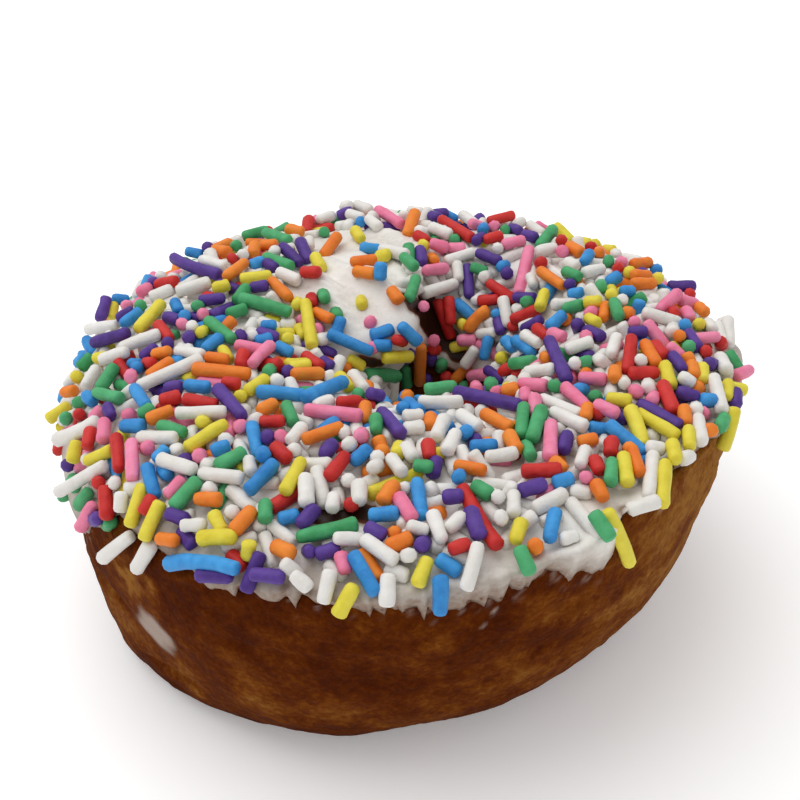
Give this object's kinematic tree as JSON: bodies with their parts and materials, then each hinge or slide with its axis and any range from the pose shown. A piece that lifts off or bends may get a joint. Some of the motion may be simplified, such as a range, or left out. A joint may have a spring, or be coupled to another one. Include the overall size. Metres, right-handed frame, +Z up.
{
  "type": "sprinkle frosted doughnut",
  "caption": "Fried ring doughnut with an off-centre hole, a skin of white frosting over its top half and mixed rod sprinkles set in it.",
  "frame": {"origin": "middle of the bounding box, on the surface the doughnut rests on", "axes": "+Z up through the hole, the frosted side on top; -Y is the front, where the swollen tongue beside the hole points"},
  "size_m": [0.0888, 0.0934, 0.0401],
  "materials": {
    "dough": "fried brown crust, matt with a faint oily sheen",
    "frosting": "white sugar icing, satin",
    "sprinkle_white": "sugar rod, satin",
    "sprinkle_pink": "sugar rod, satin",
    "sprinkle_red": "sugar rod, satin",
    "sprinkle_orange": "sugar rod, satin",
    "sprinkle_yellow": "sugar rod, satin",
    "sprinkle_green": "sugar rod, satin",
    "sprinkle_blue": "sugar rod, satin",
    "sprinkle_purple": "sugar rod, satin"
  },
  "bodies": {
    "root": {"dough": "dough", "frosting": "frosting"}
  },
  "joints": []
}
